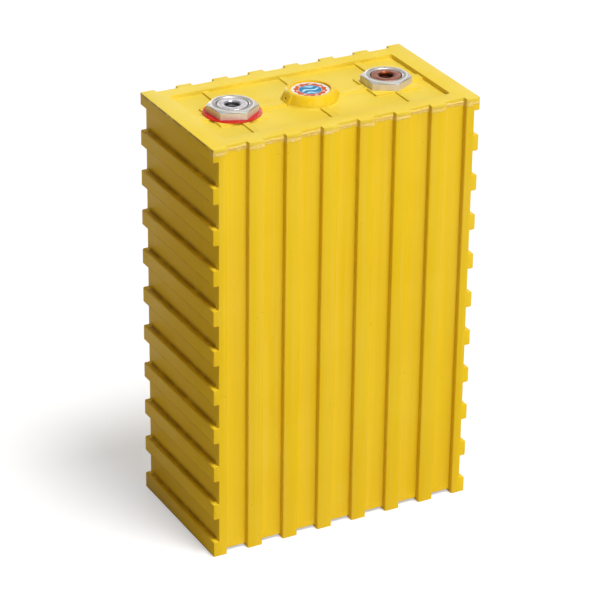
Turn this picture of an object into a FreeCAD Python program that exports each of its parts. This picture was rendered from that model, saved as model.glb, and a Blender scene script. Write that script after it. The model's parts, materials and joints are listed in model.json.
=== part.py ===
import FreeCAD, Part
import math
import os
from types import SimpleNamespace

import Sketcher

# Prismatic lithium cell: a ribbed plastic case with a welded lid, two bolted terminals,
# a screw-in relief valve and a stack of plate packs inside.
# Millimetres, +Z up. The origin is the centre of the footprint, X runs along the lid.

# name, value, meaning
DRIVING_SIZES = (
    # outside of the cell
    ("cell_width", 143.0, "X, over the side ribs"),
    ("cell_depth", 78.0, "Y, over the front and back ribs"),
    ("cell_height", 218.0, "feet to the top of the lid"),
    # case
    ("case_wall", 3.0, "wall between the ribs"),
    ("floor_wall", 3.0, "case floor"),
    ("rib_depth", 2.9, "how far every rib stands out"),
    ("rib_width", 8.0, "front and back ribs"),
    ("rib_count", 8, "ribs on each broad face"),
    ("corner_rib_inset", 3.25, "side of the cell to the middle of a corner rib"),
    ("corner_rib_width", 7.25, "corner rib, out to the side ribs"),
    ("runner_height", 4.0, "ribs under the floor"),
    ("band_count", 10, "side ribs below the lip"),
    ("band_height", 8.25, "side rib"),
    ("lip_height", 6.6, "lip round the top of the sides"),
    ("rib_edge", 0.4, "broken edge of the ribs"),
    # lid
    ("lid_edge", 1.6, "lid flange on the case rim"),
    ("plug_depth", 5.0, "lid inside the case"),
    ("plug_gap", 0.15, "lid to case wall"),
    ("rim_side", 10.4, "lid rim at the narrow ends"),
    ("rim_front", 10.5, "lid rim along the broad faces"),
    ("recess_depth", 2.15, "sunk middle of the lid"),
    ("recess_corner", 1.0, "corners of the sunk middle"),
    ("relief_height", 0.9, "raised ribs and pads in the sunk middle"),
    ("long_rib_width", 5.6, "rib along the lid"),
    ("terminal_rib_width", 3.5, "rib across at each terminal"),
    ("vent_rib_width", 4.0, "rib across at the valve"),
    ("pad_size", 24.6, "square pad under each nut"),
    ("pad_corner", 1.2, "cut corners at the back of a pad"),
    ("terminal_inset", 29.7, "end of the cell to the middle of a terminal"),
    ("post_gap", 0.2, "post to lid hole"),
    ("key_height", 3.0, "bars under the lid that stop a post turning"),
    ("key_width", 3.0, "thickness of those bars"),
    ("key_gap", 0.2, "bar to post flange"),
    # terminals
    ("post_diameter", 15.6, "threaded post, M16"),
    ("post_drop", 0.25, "post end below the top of the nut"),
    ("post_chamfer", 0.6, "edge of the post end"),
    ("tap_diameter", 6.8, "tapping drill of the M8 bolt hole"),
    ("tap_depth", 14.0, "M8 bolt hole below the countersink"),
    ("tap_mouth", 0.8, "countersink of the bolt hole"),
    ("flange_size", 26.0, "square flange of the post"),
    ("flange_height", 4.0, "thickness of the flange"),
    ("flange_corner", 2.0, "rounded corners of the flange"),
    ("blade_width", 24.0, "bar that carries the plate tabs"),
    ("blade_thickness", 8.0, "the same, along Y"),
    ("blade_height", 20.0, "below the flange"),
    ("nut_flats", 22.0, "across flats"),
    ("nut_height", 4.2, "both nuts"),
    ("positive_nut_turn", 36.5, "degrees, first corner from +X"),
    ("negative_nut_turn", 29.0, "the same, other nut"),
    ("nut_bore_gap", 0.05, "nut bore to post"),
    ("nut_chamfer", 2.6, "width of the turned corner chamfer"),
    ("nut_mouth", 0.5, "bore chamfer"),
    ("ring_diameter", 28.4, "red ring under the positive nut"),
    ("ring_height", 0.45, "thickness of the ring"),
    ("gasket_height", 1.0, "seal under the lid"),
    ("gasket_size", 25.0, "square, on the post flange"),
    # relief valve
    ("vent_boss_diameter", 27.8, "top of the boss on the lid"),
    ("vent_boss_foot", 29.0, "boss at the sunk floor, with its draft"),
    ("cap_gap", 0.1, "cap to boss"),
    ("cap_height", 4.5, "cap above the boss"),
    ("cap_top_diameter", 24.2, "at the chamfer"),
    ("cap_base_diameter", 27.4, "at the boss"),
    ("cap_edge", 0.6, "chamfered top edge"),
    ("label_recess", 1.0, "label pocket"),
    ("label_pocket_diameter", 19.8, "width of the pocket"),
    ("label_diameter", 18.6, "printed disc in the pocket"),
    ("label_thickness", 0.2, "film of the disc"),
    ("lug_width", 7.0, "finger lug"),
    ("lug_reach", 14.3, "lug foot from the axis"),
    ("outlet_diameter", 1.4, "gas outlet through each lug"),
    ("stem_diameter", 16.0, "threaded stem of the cap"),
    ("stem_length", 8.4, "stem below the cap"),
    ("stem_wall", 1.8, "wall of the hollow stem"),
    ("stem_gap", 0.1, "stem to well, a running fit"),
    ("well_wall", 2.8, "well moulded under the lid"),
    ("well_depth", 11.4, "boss to the valve seat"),
    ("well_floor", 2.0, "valve seat"),
    ("seat_hole", 7.0, "gas inlet in the valve seat"),
    ("seal_ring_width", 1.7, "flat rubber ring under the cap"),
    ("seal_ring_height", 1.5, "thickness of the rubber ring"),
    ("seal_ring_gap", 0.15, "ring to its groove"),
    ("roof_wall", 1.4, "cap between stem bore and label"),
    ("disc_gap", 0.35, "moving valve pieces to the stem bore"),
    ("poppet_disc", 1.5, "poppet disc"),
    ("poppet_guide_diameter", 3.2, "spring guide on the poppet"),
    ("poppet_guide_height", 4.5, "guide above the disc"),
    ("valve_rubber_diameter", 10.0, "rubber face of the poppet"),
    ("valve_rubber", 1.0, "thickness of the rubber face"),
    ("retainer_disc", 1.0, "spring retainer"),
    ("retainer_spigot", 1.5, "retainer into the spring"),
    ("spigot_diameter", 5.6, "the same, its width"),
    ("spring_wire", 0.8, "across the wire"),
    ("spring_diameter", 7.6, "middle of the wire"),
    ("spring_turns", 4, "working turns"),
    # stack
    ("pad_height", 2.0, "pad on the case floor"),
    ("stack_gap", 0.6, "pad, sleeve and cover plate to the case wall"),
    ("sleeve_wall", 0.6, "insulating sleeve round the packs"),
    ("sleeve_gap", 0.2, "sleeve to the packs"),
    ("pack_end_gap", 1.4, "packs to the sleeve at the narrow ends"),
    ("tab_space", 11.4, "packs to the foot of the blades"),
    ("pack_gap", 0.2, "between packs"),
    ("pack_corner", 0.8, "drawn-in corners of a pack"),
    ("pack_count", 4, "packs side by side"),
    ("sleeve_over", 2.0, "sleeve above the packs"),
    ("cover_plate", 2.0, "insulating plate on the sleeve"),
    ("slot_gap", 2.0, "slots in it to the tabs"),
    ("tab_width", 22.0, "foil bundle, along X"),
    ("tab_thickness", 1.2, "pressed bundle of foils"),
    ("tab_lap", 13.0, "bundle on the blade"),
    ("plate_thickness", 3.0, "clamp plate"),
    ("screw_spacing", 12.0, "between the two clamp screws"),
    ("screw_diameter", 5.0, "M5"),
    ("screw_gap", 0.2, "clearance holes"),
    ("screw_drop", 7.0, "screws above the foot of the blade"),
    ("head_diameter", 8.5, "screw head"),
    ("head_height", 2.6, "the same, its height"),
    ("socket_size", 3.0, "hexagon socket"),
    ("socket_depth", 1.4, "depth of the socket"),
)

COS_60 = 0.5
SIN_60 = math.sqrt(3) / 2
NUT_CHAMFER_SLOPE = math.tan(math.radians(20))
UPRIGHT = FreeCAD.Vector(0, 0, 1)
SMALL = 1e-4
WIRE_SIDES = 6

doc = FreeCAD.newDocument("cell")


class Size:
    """A length, with the expression that keeps it tied to the sheet."""

    def __init__(self, value, text):
        self.value = float(value)
        self.text = text

    def _joined(self, other, sign, value, swap=False):
        texts = [self.text, of(other).text]
        if swap:
            texts.reverse()
        return Size(value, "(%s %s %s)" % (texts[0], sign, texts[1]))

    def __add__(self, other):
        return self._joined(other, "+", self.value + of(other).value)

    def __radd__(self, other):
        return self._joined(other, "+", self.value + of(other).value, swap=True)

    def __sub__(self, other):
        return self._joined(other, "-", self.value - of(other).value)

    def __rsub__(self, other):
        return self._joined(other, "-", of(other).value - self.value, swap=True)

    def __mul__(self, other):
        return self._joined(other, "*", self.value * of(other).value)

    def __rmul__(self, other):
        return self._joined(other, "*", self.value * of(other).value, swap=True)

    def __truediv__(self, other):
        return self._joined(other, "/", self.value / of(other).value)

    def __neg__(self):
        return 0 - self


def of(item):
    """Any number as a Size."""
    return item if isinstance(item, Size) else Size(item, repr(float(item)))


def fill_sheet():
    """The driving sizes in a spreadsheet, and a Size for each."""
    sheet = doc.addObject("Spreadsheet::Sheet", "Sizes")
    found = SimpleNamespace()
    for row, (name, value, meaning) in enumerate(DRIVING_SIZES, start=1):
        sheet.set("A%d" % row, name)
        sheet.set("B%d" % row, str(value))
        sheet.set("C%d" % row, meaning)
        sheet.setAlias("B%d" % row, name)
        setattr(found, name, Size(value, "Sizes." + name))
    doc.recompute()
    return found


s = fill_sheet()

# ---- levels and places worked out from the driving sizes ----

case_top = s.cell_height - s.lid_edge
core_x = s.cell_width / 2 - s.rib_depth
core_y = s.cell_depth / 2 - s.rib_depth
cavity_x = core_x - s.case_wall
cavity_y = core_y - s.case_wall
cavity_floor = s.runner_height + s.floor_wall
side_x = s.cell_width / 2
front_y = s.cell_depth / 2
corner_rib_x = side_x - s.corner_rib_width
rib_pitch = (s.cell_width - 2 * s.corner_rib_inset) / (s.rib_count - 1)
band_pitch = (s.cell_height - s.lip_height) / s.band_count

lid_underside = case_top - s.plug_depth
recess_floor = s.cell_height - s.recess_depth
relief_top = recess_floor + s.relief_height
recess_x = side_x - s.rim_side
recess_y = front_y - s.rim_front
terminal_x = side_x - s.terminal_inset
post_radius = s.post_diameter / 2

flange_top = lid_underside - s.gasket_height
flange_bottom = flange_top - s.flange_height
blade_bottom = flange_bottom - s.blade_height

boss_radius = s.vent_boss_diameter / 2
cap_bottom = relief_top + s.cap_gap
cap_top = cap_bottom + s.cap_height
label_floor = cap_top - s.label_recess
stem_radius = s.stem_diameter / 2
stem_bottom = cap_bottom - s.stem_length
stem_bore = stem_radius - s.stem_wall
cap_roof = label_floor - s.roof_wall
well_radius = stem_radius + s.stem_gap
seat_level = relief_top - s.well_depth
seal_inner = stem_radius + s.seal_ring_gap
seal_outer = seal_inner + s.seal_ring_width
seal_bottom = cap_bottom - s.seal_ring_height
groove_radius = seal_outer + s.seal_ring_gap
groove_floor = seal_bottom - s.seal_ring_gap
poppet_bottom = seat_level + s.valve_rubber
poppet_top = poppet_bottom + s.poppet_disc
retainer_bottom = cap_roof - s.retainer_disc
moving_radius = stem_bore - s.disc_gap

stack_floor = cavity_floor + s.pad_height
pack_top = blade_bottom - s.tab_space
sleeve_top = pack_top + s.sleeve_over
sleeve_x = cavity_x - s.stack_gap
sleeve_y = cavity_y - s.stack_gap
packs_x = sleeve_x - s.sleeve_wall - s.pack_end_gap
packs_y = sleeve_y - s.sleeve_wall - s.sleeve_gap
pack_thickness = (2 * packs_y - (s.pack_count - 1) * s.pack_gap) / s.pack_count
pack_pitch = pack_thickness + s.pack_gap
inner_tab = s.pack_gap / 2 + pack_thickness / 2
screw_level = blade_bottom + s.screw_drop
tab_top = blade_bottom + s.tab_lap


# ---- helpers ----

def new_body(name):
    body = doc.addObject("PartDesign::Body", name)
    body.Label = name
    return body


def place(item, x=0, y=0, z=0):
    """Ties an object's place to the sheet."""
    for axis, value in zip("xyz", (x, y, z)):
        item.setExpression("Placement.Base." + axis, of(value).text)


def turn(item, axis, degrees):
    """Turns an object about an axis by an angle tied to the sheet."""
    item.Placement = FreeCAD.Placement(FreeCAD.Vector(), FreeCAD.Rotation(axis, of(degrees).value))
    item.setExpression("Placement.Rotation.Angle", of(degrees).text)


def new_sketch(body, name, role="XY_Plane", level=0):
    """An empty sketch on one of the body's own planes, raised to a level."""
    sketch = body.newObject("Sketcher::SketchObject", name)
    planes = [item for item in body.Origin.OriginFeatures if item.Role == role]
    sketch.AttachmentSupport = [(planes[0], "")]
    sketch.MapMode = "FlatFace"
    sketch.setExpression("AttachmentOffset.Base.z", of(level).text)
    return sketch


def fix(sketch, kind, geometry, size):
    """A dimension from the sketch's origin to a point, tied to the sheet."""
    index = sketch.addConstraint(Sketcher.Constraint(kind, -1, 1, *geometry, of(size).value))
    sketch.setExpression("Constraints[%d]" % index, of(size).text)


def add_polygon(sketch, corners):
    """A closed outline through the given corners."""
    points = [FreeCAD.Vector(of(x).value, of(y).value, 0) for x, y in corners]
    first = sketch.GeometryCount
    count = len(points)
    for index in range(count):
        sketch.addGeometry(Part.LineSegment(points[index], points[(index + 1) % count]))
    for index in range(count):
        after = first + (index + 1) % count
        sketch.addConstraint(Sketcher.Constraint("Coincident", first + index, 2, after, 1))
    for index, (x, y) in enumerate(corners):
        fix(sketch, "DistanceX", (first + index, 1), x)
        fix(sketch, "DistanceY", (first + index, 1), y)


def add_rectangle(sketch, x_low, x_high, y_low, y_high):
    add_polygon(sketch, ((x_low, y_low), (x_high, y_low), (x_high, y_high), (x_low, y_high)))


def add_circle(sketch, radius, x=0, y=0):
    middle = FreeCAD.Vector(of(x).value, of(y).value, 0)
    geometry = sketch.addGeometry(Part.Circle(middle, UPRIGHT, of(radius).value))
    index = sketch.addConstraint(Sketcher.Constraint("Radius", geometry, of(radius).value))
    sketch.setExpression("Constraints[%d]" % index, of(radius).text)
    fix(sketch, "DistanceX", (geometry, 3), x)
    fix(sketch, "DistanceY", (geometry, 3), y)


def add_hexagon(sketch, flats):
    """A hexagon about the origin, one corner on the sketch's X axis."""
    corner = flats / 2 / SIN_60
    add_polygon(sketch, (
        (corner, 0), (corner * COS_60, flats / 2), (corner * -COS_60, flats / 2),
        (-corner, 0), (corner * -COS_60, -flats / 2), (corner * COS_60, -flats / 2)))


def regular_corners(count, radius, middle_x):
    """Corners of a regular polygon that stands on one of its corners."""
    angles = [math.tau * index / count - math.pi / 2 for index in range(count)]
    return [(middle_x + radius * math.cos(angle), radius * math.sin(angle)) for angle in angles]


def feature(body, kind, name, sketch, **sizes):
    """A PartDesign feature on a sketch, its sizes tied to the sheet."""
    item = body.newObject("PartDesign::" + kind, name)
    item.Profile = sketch
    for prop, size in sizes.items():
        item.setExpression(prop, of(size).text)
    sketch.Visibility = False
    return item


def pad(body, name, sketch, length, both_ways=False):
    item = feature(body, "Pad", name, sketch, Length=length)
    item.SideType = "Symmetric" if both_ways else "One side"
    return item


def pocket(body, name, sketch, length, both_ways=False):
    item = feature(body, "Pocket", name, sketch, Length=length)
    item.SideType = "Symmetric" if both_ways else "One side"
    return item


def turned(body, kind, name, corners):
    """A Revolution or a Groove about the body's Z axis, from an (r, z) outline."""
    sketch = new_sketch(body, name + "_outline", "XZ_Plane")
    add_polygon(sketch, corners)
    item = feature(body, kind, name, sketch)
    item.ReferenceAxis = (sketch, ["V_Axis"])
    item.Angle = 360
    return item


def box_pad(body, name, boxes, low, high):
    """One pad of several rectangles, each (x low, x high, y low, y high)."""
    sketch = new_sketch(body, name + "_outline", level=low)
    for box in boxes:
        add_rectangle(sketch, *box)
    return pad(body, name, sketch, high - low)


def both_sides(x_low, x_high, y_low, y_high):
    """A rectangle and its mirror image across the YZ plane."""
    return [(x_low, x_high, y_low, y_high), (-x_high, -x_low, y_low, y_high)]


def pattern(body, name, item, role, length, count):
    """Copies of a feature in a line, the last of them a length away."""
    axes = [axis for axis in body.Origin.OriginFeatures if axis.Role == role]
    copies = body.newObject("PartDesign::LinearPattern", name)
    copies.Originals = [item]
    copies.Direction = (axes[0], [""])
    copies.setExpression("Length", length.text)
    copies.setExpression("Occurrences", count.text)
    body.Tip = copies
    return copies


def edge_names(base, wanted):
    """Names of the edges of a feature for which wanted(edge) is true."""
    doc.recompute()
    edges = base.Shape.Edges
    return ["Edge%d" % (index + 1) for index, edge in enumerate(edges) if wanted(edge)]


def break_edges(body, name, wanted, width):
    """Chamfers the chosen edges of the body's last feature."""
    base = body.Tip
    names = edge_names(base, wanted)
    item = body.newObject("PartDesign::Chamfer", name)
    item.Base = (base, names)
    item.setExpression("Size", of(width).text)
    return item


def is_along(edge, axis):
    """Whether an edge is straight and runs along X, Y or Z."""
    if len(edge.Vertexes) != 2:
        return False
    run = edge.Vertexes[1].Point - edge.Vertexes[0].Point
    others = [abs(getattr(run, name)) for name in "xyz" if name != axis]
    return max(others) < SMALL


def grouped(name, bodies):
    """Separate solids that share one node."""
    group = doc.addObject("Part::Compound", name)
    group.Label = name
    group.Links = bodies
    return group


# ---- case ----

def rib_boxes_at_corners(outer_x):
    return both_sides(corner_rib_x, outer_x, -front_y, front_y)


def add_front_ribs(body, low, high, outer_x):
    """Ribs that run round the broad faces and, low down, under the floor."""
    first_x = rib_pitch - side_x + s.corner_rib_inset
    rib = box_pad(body, "rib", [(first_x - s.rib_width / 2, first_x + s.rib_width / 2,
                                 -front_y, front_y)], low, high)
    pattern(body, "ribs", rib, "X_Axis", rib_pitch * (s.rib_count - 3), s.rib_count - 2)
    box_pad(body, "corner_ribs", rib_boxes_at_corners(outer_x), low, high)


def make_case():
    """Open box: a core with ribs round it, side bands, a lip and a deep cavity."""
    body = new_body("case")
    box_pad(body, "core", [(-core_x, core_x, -core_y, core_y)], s.runner_height, case_top)
    add_front_ribs(body, 0, case_top, core_x)
    side_boxes = both_sides(core_x, side_x, -front_y, front_y)
    band = box_pad(body, "band", side_boxes, 0, s.band_height)
    pattern(body, "bands", band, "Z_Axis", band_pitch * (s.band_count - 1), s.band_count)
    box_pad(body, "lip", side_boxes, s.cell_height - s.lip_height, case_top)

    def is_rib_edge(edge):
        """Upright outer edges of the ribs and long outer edges of the side bands."""
        box = edge.BoundBox
        on_front = abs(abs(box.Center.y) - front_y.value) < SMALL
        on_side = abs(abs(box.Center.x) - side_x.value) < SMALL
        inner_rib = abs(box.Center.x) < corner_rib_x.value + SMALL
        tall = box.ZLength > s.band_height.value * 2
        below_lid = box.Center.z < case_top.value - SMALL
        if is_along(edge, "z"):
            return on_front and inner_rib and tall
        return is_along(edge, "y") and on_side and below_lid and box.Center.z > SMALL

    break_edges(body, "rib_edges", is_rib_edge, s.rib_edge)
    mouth = new_sketch(body, "cavity_outline", level=case_top)
    add_rectangle(mouth, -cavity_x, cavity_x, -cavity_y, cavity_y)
    pocket(body, "cavity", mouth, case_top - cavity_floor)
    return body


# ---- lid ----

def pad_corners(middle_x):
    """Square pad round a terminal, its two back corners cut off."""
    half = s.pad_size / 2
    cut = half - s.pad_corner
    return ((middle_x - half, -half), (middle_x + half, -half), (middle_x + half, cut),
            (middle_x + cut, half), (middle_x - cut, half), (middle_x - half, cut))


def add_lid_relief(body):
    """Low ribs, terminal pads and the valve boss in the sunk middle."""
    box_pad(body, "long_rib", [(-recess_x, recess_x, -s.long_rib_width / 2, s.long_rib_width / 2)],
            recess_floor, relief_top)
    half_rib = s.terminal_rib_width / 2
    box_pad(body, "terminal_ribs",
            both_sides(terminal_x - half_rib, terminal_x + half_rib, -recess_y, recess_y),
            recess_floor, relief_top)
    box_pad(body, "vent_rib", [(-s.vent_rib_width / 2, s.vent_rib_width / 2, -recess_y, recess_y)],
            recess_floor, relief_top)
    pads = new_sketch(body, "pads_outline", level=recess_floor)
    add_polygon(pads, pad_corners(terminal_x))
    add_polygon(pads, pad_corners(-terminal_x))
    pad(body, "pads", pads, s.relief_height)
    turned(body, "Revolution", "boss", (
        (0, recess_floor), (s.vent_boss_foot / 2, recess_floor), (boss_radius, relief_top), (0, relief_top)))


def make_lid():
    """Stepped flange, plug, sunk middle with its relief, post holes and valve well."""
    body = new_body("lid")
    box_pad(body, "flange", [(-side_x, side_x, -core_y, core_y)], case_top, s.cell_height)
    add_front_ribs(body, case_top, s.cell_height, side_x)
    plug_x = cavity_x - s.plug_gap
    plug_y = cavity_y - s.plug_gap
    box_pad(body, "plug", [(-plug_x, plug_x, -plug_y, plug_y)], lid_underside, case_top)
    recess = new_sketch(body, "recess_outline", level=s.cell_height)
    add_rectangle(recess, -recess_x, recess_x, -recess_y, recess_y)
    pocket(body, "recess", recess, s.recess_depth)

    def is_recess_corner(edge):
        return (is_along(edge, "z") and abs(abs(edge.BoundBox.Center.x) - recess_x.value) < SMALL
                and abs(abs(edge.BoundBox.Center.y) - recess_y.value) < SMALL)

    break_edges(body, "recess_corners", is_recess_corner, s.recess_corner)
    add_lid_relief(body)
    key_y = s.flange_size / 2 + s.key_gap
    key_half = s.flange_size / 2
    keys = both_sides(terminal_x - key_half, terminal_x + key_half, key_y, key_y + s.key_width)
    keys += both_sides(terminal_x - key_half, terminal_x + key_half, -key_y - s.key_width, -key_y)
    box_pad(body, "keys", keys, lid_underside - s.key_height, lid_underside)
    well = new_sketch(body, "well_outline", level=seat_level - s.well_floor)
    add_circle(well, well_radius + s.well_wall)
    pad(body, "well", well, lid_underside - seat_level + s.well_floor)
    turned(body, "Groove", "valve_bore", (
        (0, seat_level - s.well_floor), (s.seat_hole / 2, seat_level - s.well_floor),
        (s.seat_hole / 2, seat_level), (well_radius, seat_level), (well_radius, groove_floor),
        (groove_radius, groove_floor), (groove_radius, relief_top), (0, relief_top)))
    holes = new_sketch(body, "post_holes_outline", level=relief_top)
    for middle_x in (-terminal_x, terminal_x):
        add_circle(holes, post_radius + s.post_gap, middle_x)
    pocket(body, "post_holes", holes, relief_top - lid_underside)
    return body


# ---- terminals ----

def make_terminal(name, middle_x, nut_bottom):
    """Turned post on a square flange, with a blade below for the plate tabs."""
    body = new_body(name)
    place(body, x=middle_x)
    top = nut_bottom + s.nut_height - s.post_drop
    turned(body, "Revolution", "post", (
        (0, flange_bottom), (post_radius, flange_bottom), (post_radius, top - s.post_chamfer),
        (post_radius - s.post_chamfer, top), (0, top)))
    half = s.flange_size / 2
    box_pad(body, "flange", [(-half, half, -half, half)], flange_bottom, flange_top)

    def is_flange_corner(edge):
        return is_along(edge, "z") and abs(abs(edge.BoundBox.Center.x) - half.value) < SMALL

    break_edges(body, "flange_corners", is_flange_corner, s.flange_corner)
    box_pad(body, "blade", [(-s.blade_width / 2, s.blade_width / 2,
                             -s.blade_thickness / 2, s.blade_thickness / 2)],
            blade_bottom, flange_bottom)
    tap = s.tap_diameter / 2
    mouth = tap + s.tap_mouth
    tap_bottom = top - s.tap_mouth - s.tap_depth
    turned(body, "Groove", "bolt_hole", (
        (0, tap_bottom - tap * COS_60), (tap, tap_bottom), (tap, top - s.tap_mouth),
        (mouth, top), (0, top)))
    screws = new_sketch(body, "screw_holes_outline", "XZ_Plane")
    for x in (-s.screw_spacing / 2, s.screw_spacing / 2):
        add_circle(screws, s.screw_diameter / 2 + s.screw_gap, x, screw_level)
    pocket(body, "screw_holes", screws, s.blade_thickness * 2, both_ways=True)
    return body


def make_nut(name, middle_x, bottom, first_corner):
    """Thin hexagon nut with turned corners and a chamfered bore."""
    body = new_body(name)
    turn(body, UPRIGHT, first_corner)
    place(body, x=middle_x, z=bottom)
    outline = new_sketch(body, "hexagon")
    add_hexagon(outline, s.nut_flats)
    pad(body, "blank", outline, s.nut_height)
    corner = s.nut_flats / 2 / SIN_60
    reach = corner - s.nut_chamfer
    rise = s.nut_chamfer * NUT_CHAMFER_SLOPE
    outside = corner + s.nut_chamfer
    outside_rise = rise * 2
    turned(body, "Groove", "turned_top", (
        (reach, s.nut_height), (outside, s.nut_height - outside_rise), (outside, s.nut_height)))
    bore = post_radius + s.nut_bore_gap
    mouth = bore + s.nut_mouth
    turned(body, "Groove", "bore", (
        (0, 0), (mouth, 0), (bore, s.nut_mouth), (bore, s.nut_height - s.nut_mouth),
        (mouth, s.nut_height), (0, s.nut_height)))
    return body


def make_ring():
    """Flat plastic ring between the positive nut and its pad."""
    body = new_body("positive_ring")
    place(body, x=-terminal_x, z=relief_top)
    outline = new_sketch(body, "ring_outline")
    add_circle(outline, s.ring_diameter / 2)
    add_circle(outline, post_radius + s.post_gap)
    pad(body, "ring", outline, s.ring_height)
    return body


def make_gasket(name, middle_x):
    """Square rubber seal between the post flange and the lid."""
    body = new_body(name)
    place(body, x=middle_x, z=flange_top)
    outline = new_sketch(body, "seal_outline")
    half = s.gasket_size / 2
    add_rectangle(outline, -half, half, -half, half)
    add_circle(outline, post_radius + s.post_gap)
    pad(body, "seal", outline, s.gasket_height)
    return body


# ---- relief valve ----

def make_vent_cap():
    """Tapered cap with a label pocket, two finger lugs and a hollow threaded stem."""
    body = new_body("vent_cap")
    top_radius = s.cap_top_diameter / 2
    turned(body, "Revolution", "cap", (
        (0, label_floor), (s.label_pocket_diameter / 2, label_floor),
        (s.label_pocket_diameter / 2, cap_top), (top_radius - s.cap_edge, cap_top),
        (top_radius, cap_top - s.cap_edge), (s.cap_base_diameter / 2, cap_bottom),
        (stem_radius, cap_bottom), (stem_radius, stem_bottom), (stem_bore, stem_bottom),
        (stem_bore, cap_roof), (0, cap_roof)))
    lug_top = cap_top - s.cap_edge
    lug_root = (s.label_pocket_diameter / 2 + top_radius) / 2
    for side in (-1, 1):
        lug = new_sketch(body, "lug_outline", "XZ_Plane")
        add_polygon(lug, (
            (lug_root * side, cap_bottom), (s.lug_reach * side, cap_bottom),
            (top_radius * side, lug_top), (lug_root * side, lug_top)))
        pad(body, "lug", lug, s.lug_width, both_ways=True)
    outlets = new_sketch(body, "outlets_outline", "YZ_Plane")
    add_circle(outlets, s.outlet_diameter / 2, 0, cap_bottom + s.outlet_diameter)
    pocket(body, "outlets", outlets, s.lug_reach * 2 + s.lug_width, both_ways=True)
    return body


def make_vent_label():
    body = new_body("vent_label")
    place(body, z=label_floor)
    outline = new_sketch(body, "disc_outline")
    add_circle(outline, s.label_diameter / 2)
    pad(body, "disc", outline, s.label_thickness)
    return body


def make_cap_seal():
    """Flat rubber ring in the groove round the stem, against the underside of the cap."""
    body = new_body("vent_cap_seal")
    place(body, z=seal_bottom)
    outline = new_sketch(body, "ring_outline")
    add_circle(outline, seal_outer)
    add_circle(outline, seal_inner)
    pad(body, "ring", outline, s.seal_ring_height)
    return body


def make_poppet():
    """Valve disc with a stem that guides the spring."""
    body = new_body("vent_poppet")
    guide = s.poppet_guide_diameter / 2
    guide_top = poppet_top + s.poppet_guide_height
    turned(body, "Revolution", "poppet", (
        (0, poppet_bottom), (moving_radius, poppet_bottom), (moving_radius, poppet_top),
        (guide, poppet_top), (guide, guide_top - s.stem_gap), (guide - s.stem_gap, guide_top),
        (0, guide_top)))
    return body


def make_valve_rubber():
    body = new_body("vent_rubber")
    place(body, z=seat_level)
    outline = new_sketch(body, "disc_outline")
    add_circle(outline, s.valve_rubber_diameter / 2)
    pad(body, "disc", outline, s.valve_rubber)
    return body


def make_retainer():
    """Thrust disc between the spring and the cap, with a spigot inside the spring."""
    body = new_body("spring_retainer")
    spigot = s.spigot_diameter / 2
    spigot_bottom = retainer_bottom - s.retainer_spigot
    turned(body, "Revolution", "retainer", (
        (0, spigot_bottom), (spigot, spigot_bottom), (spigot, retainer_bottom),
        (moving_radius, retainer_bottom), (moving_radius, cap_roof), (0, cap_roof)))
    return body


def make_spring():
    """Compression spring from the poppet disc to the retainer."""
    body = new_body("vent_spring")
    place(body, z=poppet_top + s.spring_wire / 2)
    section = new_sketch(body, "wire_outline", "XZ_Plane")
    add_polygon(section, regular_corners(WIRE_SIDES, s.spring_wire / 2, s.spring_diameter / 2))
    rise = retainer_bottom - poppet_top - s.spring_wire
    coil = feature(body, "AdditiveHelix", "coil", section)
    coil.ReferenceAxis = (section, ["V_Axis"])
    coil.Mode = "height-turns-angle"
    coil.setExpression("Height", rise.text)
    coil.setExpression("Turns", s.spring_turns.text)
    return body


# ---- stack ----

def make_floor_pad():
    body = new_body("floor_pad")
    box_pad(body, "pad", [(-sleeve_x, sleeve_x, -sleeve_y, sleeve_y)], cavity_floor, stack_floor)
    return body


def make_sleeve():
    """Thin insulating sleeve round all the packs."""
    body = new_body("insulating_sleeve")
    outline = new_sketch(body, "sleeve_outline", level=stack_floor)
    add_rectangle(outline, -sleeve_x, sleeve_x, -sleeve_y, sleeve_y)
    inner_x = sleeve_x - s.sleeve_wall
    inner_y = sleeve_y - s.sleeve_wall
    add_rectangle(outline, -inner_x, inner_x, -inner_y, inner_y)
    pad(body, "sleeve", outline, sleeve_top - stack_floor)
    return body


def make_pack(index):
    """One pack of plates and separators, its corners drawn in where the separator wraps it."""
    body = new_body("plate_pack_%d" % (index + 1))
    low = -packs_y + pack_pitch * index
    place(body, y=low)
    box_pad(body, "plates", [(-packs_x, packs_x, 0, pack_thickness)], stack_floor, pack_top)
    break_edges(body, "wrapped_edges", lambda edge: is_along(edge, "z"), s.pack_corner)
    return body


def make_cover_plate():
    """Insulating plate on the sleeve, with a slot at each terminal for the tabs."""
    body = new_body("cover_plate")
    box_pad(body, "plate", [(-sleeve_x, sleeve_x, -sleeve_y, sleeve_y)],
            sleeve_top, sleeve_top + s.cover_plate)
    slots = new_sketch(body, "slots_outline", level=sleeve_top + s.cover_plate)
    half_x = s.tab_width / 2 + s.slot_gap
    half_y = inner_tab + pack_pitch + s.tab_thickness + s.slot_gap
    for box in both_sides(terminal_x - half_x, terminal_x + half_x, -half_y, half_y):
        add_rectangle(slots, *box)
    pocket(body, "slots", slots, s.cover_plate)
    return body


def tab_outline(pack_y, face_y, lift):
    """Side view of one bundle: up from a pack, across, then up the blade."""
    thick = s.tab_thickness
    bend = blade_bottom + lift
    foot = sleeve_top + s.cover_plate + lift
    return ((pack_y, pack_top), (pack_y + thick, pack_top), (pack_y + thick, foot),
            (face_y + thick, bend), (face_y + thick, tab_top), (face_y, tab_top),
            (face_y, bend - thick / 2), (pack_y, foot - thick / 2))


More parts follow.
